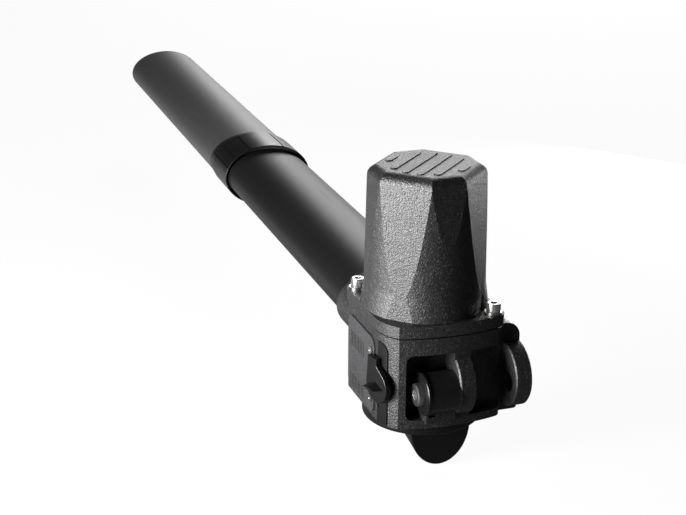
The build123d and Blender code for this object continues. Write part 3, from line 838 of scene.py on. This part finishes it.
@dataclass
class FastenerSet:
    """Every screw that shows, placed by the solids it stands for."""

    cover: ScrewSize = ScrewSize(6.5 * MM, 8.0 * MM, 2.9 * MM, 4.5 * MM, 4.0 * MM)
    bottom: ScrewSize = ScrewSize(4.0 * MM, 3.5 * MM, 1.8 * MM, 1.8 * MM, 2.5 * MM, edge=0.3 * MM)
    panel: ScrewSize = ScrewSize(3.6 * MM, 1.8 * MM, 1.3 * MM, 1.1 * MM, 1.5 * MM, 0.6 * MM, knurled=False)
    pivot: ScrewSize = ScrewSize(10.5 * MM, 6.0 * MM, 4.8 * MM, 4.0 * MM, 6.0 * MM, edge=0.8 * MM)
    cover_corners: tuple[tuple[int, int], ...] = ((1, 1), (-1, -1))
    bottom_corners: tuple[tuple[int, int], ...] = ((1, 1), (1, -1), (-1, 1), (-1, -1))

    def build(self) -> None:
        """Builds the four sizes."""
        tree = KnurlTree()
        self.cover_bolts(tree)
        self.bottom_screws(tree)
        self.panel_screws(tree)
        self.pivot_bolt(tree)

    def cover_bolts(self, tree: KnurlTree) -> None:
        """Builds the two upright bolts at opposite corners of the motor cover.

        Args:
            tree: The shared tree of ribs.
        """
        low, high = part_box("cover_bolts")
        radius, height = self.cover.head_radius, self.cover.head_height
        upright = Matrix.Identity(4)
        places = corner_places("cover_bolts", radius, upright, high.z - height, self.cover_corners)
        length = high.z - height - low.z
        Fasteners("cover_bolt_heads", "cover_bolts", places, self.cover, length).build(tree)

    def bottom_screws(self, tree: KnurlTree) -> None:
        """Builds the four screws under the bottom cover, with their heads down.

        Args:
            tree: The shared tree of ribs.
        """
        low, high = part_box("bottom_screws")
        radius, height = self.bottom.head_radius, self.bottom.head_height
        down = Matrix.Rotation(math.pi, 4, "X")
        places = corner_places("bottom_screws", radius, down, low.z + height, self.bottom_corners)
        length = high.z - low.z - height
        Fasteners("bottom_screw_heads", "bottom_screws", places, self.bottom, length).build(tree)

    def panel_screws(self, tree: KnurlTree) -> None:
        """Builds the side plate's two screws, one above the other.

        Args:
            tree: The shared tree of ribs.
        """
        low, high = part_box("side_plate_screws")
        radius, height = self.panel.head_radius, self.panel.head_height
        middle, seat, levels = (low.x + high.x) / 2, high.y - height, (low.z + radius, high.z - radius)
        places = [Matrix.Translation((middle, seat, level)) @ SIDEWAYS for level in levels]
        length = high.y - low.y - height
        Fasteners("panel_screw_heads", "side_plate_screws", places, self.panel, length).build(tree)

    def pivot_bolt(self, tree: KnurlTree) -> None:
        """Builds the bolt at the end of the clevis barrel.

        Args:
            tree: The shared tree of ribs.
        """
        low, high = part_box("pivot_bolt")
        height = self.pivot.head_height
        middle, seat, level = (low.x + high.x) / 2, high.y - height, (low.z + high.z) / 2
        places = [Matrix.Translation((middle, seat, level)) @ SIDEWAYS]
        length = high.y - low.y - height
        Fasteners("pivot_bolt_head", "pivot_bolt", places, self.pivot, length).build(tree)


@dataclass
class DriveScrew:
    """The lead screw with its thread, inside the tubes."""

    pitch: float = 6.0 * MM
    ridge: float = 1.1 * MM

    def build(self) -> None:
        """Winds the thread round a thinner core."""
        low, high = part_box("lead_screw")
        outer = (high.z - low.z) / 2
        length = high.x - low.x
        core = outer - self.ridge
        rings = [Ring(0.0, 0.0), Ring(core, 0.0), Ring(core, length), Ring(0.0, length)]
        bar = turned_mesh("screw_core", rings)
        wound = length - 2 * self.ridge
        values = {"Turns": wound / self.pitch, "Radius": core, "Length": wound, "Ridge": self.ridge}
        mesh = ThreadTree().applied(bar, DARK_STEEL, values)
        middle = (low + high) / 2
        start = Matrix.Translation((low.x, middle.y, middle.z))
        mesh.transform(start @ Matrix.Rotation(math.pi / 2, 4, "Y"))
        finish_piece("threaded_screw", mesh, DARK_STEEL, "screw_shaft", ("lead_screw",))


@dataclass(frozen=True)
class Softbox:
    """A soft square light that faces the gearbox."""

    name: str
    place: Point
    size: float
    energy: float
    aim: Point = (0.12, 0.0, 0.05)

    def hang(self) -> None:
        """Adds the light."""
        data = bpy.data.lights.new(self.name, "AREA")
        data.size = self.size
        data.energy = self.energy
        lamp = bpy.data.objects.new(self.name, data)
        bpy.context.scene.collection.objects.link(lamp)
        direction = Vector(self.aim) - Vector(self.place)
        turn = direction.to_track_quat("-Z", "Y").to_matrix().to_4x4()
        lamp.matrix_world = Matrix.Translation(self.place) @ turn


@dataclass
class Studio:
    """Pale floor, soft lights and the camera at the photograph's angle."""

    camera_place: Point = (-1.0857, 0.5148, 0.5651)
    camera_turn: float = math.radians(19.04)
    camera_pitch: float = math.radians(20.38)
    camera_roll: float = math.radians(0.28)
    lens: float = 76.45
    sensor_width: float = 36.0
    near_clip: float = 0.01
    far_clip: float = 50.0
    floor_level: float = -0.088
    floor_middle: float = 0.5
    floor_half_size: float = 8.0
    floor_roughness: float = 0.9
    # Painted shade and light: rays other than the camera's see the floor dark, with a pale painted pool of
    # light ahead of the gearbox.
    floor_painted_shade: Colour = (0.08, 0.08, 0.08)
    floor_painted_light: Colour = (0.8, 0.8, 0.8)
    painted_light_start: float = 0.25
    painted_light_slope: float = 1.6
    floor_glow: float = 0.93
    surround: float = 0.02
    surround_colour: Colour = (0.8, 0.8, 0.8)
    softboxes: tuple[Softbox, ...] = (
        Softbox("left_softbox", (-0.08, 1.18, 0.25), 0.5, 50.0),
        Softbox("accent_softbox", (-0.44, 1.07, 0.1), 0.3, 10.0),
        Softbox("back_softbox", (2.6, -1.3, 1.2), 1.6, 42.0),
        Softbox("low_softbox", (0.75, -0.75, 0.0), 0.5, 9.0),
    )

    def build(self) -> None:
        """Adds everything that isn't part of the object."""
        self.camera()
        self.floor()
        self.world()
        for softbox in self.softboxes:
            softbox.hang()

    def camera(self) -> None:
        """Sets the camera as the photograph's edges gave it."""
        data = bpy.data.cameras.new("camera")
        data.sensor_width = self.sensor_width
        data.lens = self.lens
        data.clip_start = self.near_clip
        data.clip_end = self.far_clip
        camera = bpy.data.objects.new("camera", data)
        bpy.context.scene.collection.objects.link(camera)
        heading = Matrix.Rotation(-math.pi / 2 - self.camera_turn, 4, "Z")
        tilt = Matrix.Rotation(math.pi / 2 - self.camera_pitch, 4, "X")
        roll = Matrix.Rotation(self.camera_roll, 4, "Z")
        camera.matrix_world = Matrix.Translation(self.camera_place) @ heading @ tilt @ roll
        bpy.context.scene.camera = camera

    def floor(self) -> None:
        """A plain pale floor that keeps the object's shadow."""
        mesh = bpy.data.meshes.new("floor")
        form = bmesh.new()
        bmesh.ops.create_grid(form, x_segments=1, y_segments=1, size=self.floor_half_size)
        form.to_mesh(mesh)
        form.free()
        mesh.transform(Matrix.Translation((self.floor_middle, 0.0, self.floor_level)))
        floor = bpy.data.objects.new("floor", mesh)
        bpy.context.scene.collection.objects.link(floor)
        floor.data.materials.append(self.floor_material())

    def floor_material(self) -> bpy.types.Material:
        """Builds paper that the camera sees nearly white; other rays see it dark as painted shade, with a
        painted pool of light ahead of the gearbox.

        Returns:
            The material.
        """
        made = bpy.data.materials.new("floor_paper")
        made.use_nodes = True
        tree = made.node_tree
        shader = tree.nodes["Principled BSDF"]
        shader.inputs["Roughness"].default_value = self.floor_roughness
        seen = tree.nodes.new("ShaderNodeLightPath").outputs["Is Camera Ray"]
        coords = tree.nodes.new("ShaderNodeTexCoord")
        parts = tree.nodes.new("ShaderNodeSeparateXYZ")
        connect(tree, coords.outputs["Object"], parts.inputs[0])
        # Painted light: the pool of light ahead of the gearbox, for rays other than the camera's.
        past = math_node(tree, "SUBTRACT", parts.outputs["X"], self.painted_light_start)
        ahead = math_node(tree, "MULTIPLY", past, self.painted_light_slope)
        pale = math_node(tree, "MAXIMUM", seen, math_node(tree, "MINIMUM", ahead, 1.0))
        connect(tree, colour_mix(tree, pale, self.floor_painted_shade, self.floor_painted_light), shader.inputs["Base Color"])
        glow = tree.nodes.new("ShaderNodeEmission")
        share = math_node(tree, "MULTIPLY", seen, self.floor_glow)
        surface = shader_mix(tree, share, shader.outputs[0], glow.outputs[0])
        connect(tree, surface, tree.nodes["Material Output"].inputs["Surface"])
        return made

    def world(self) -> None:
        """A soft grey surround that the camera sees as white."""
        world = bpy.data.worlds.new("surround")
        world.use_nodes = True
        bpy.context.scene.world = world
        tree = world.node_tree
        back = tree.nodes["Background"]
        back.inputs["Color"].default_value = (*self.surround_colour, 1.0)
        back.inputs["Strength"].default_value = self.surround
        white = tree.nodes.new("ShaderNodeBackground")
        white.inputs["Color"].default_value = (1.0, 1.0, 1.0, 1.0)
        seen = tree.nodes.new("ShaderNodeLightPath").outputs["Is Camera Ray"]
        surface = shader_mix(tree, seen, back.outputs[0], white.outputs[0])
        connect(tree, surface, tree.nodes["World Output"].inputs["Surface"])


def dress_frame(nodes: dict[str, bpy.types.Object]) -> None:
    """Gives every carried-over node its finish.

    Args:
        nodes: The frame's nodes by name.
    """
    for name, node in nodes.items():
        node.data.materials.clear()
        node.data.materials.append(NODE_FINISHES[name].material())


def main() -> None:
    """Builds the scene."""
    logging.basicConfig(level=logging.INFO, format="%(name)s: %(message)s")
    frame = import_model()
    dress_frame(frame["nodes"])
    FastenerSet().build()
    DriveScrew().build()
    Studio().build()
    bpy.context.scene.view_settings.view_transform = "Standard"


if __name__ == "__main__":
    main()
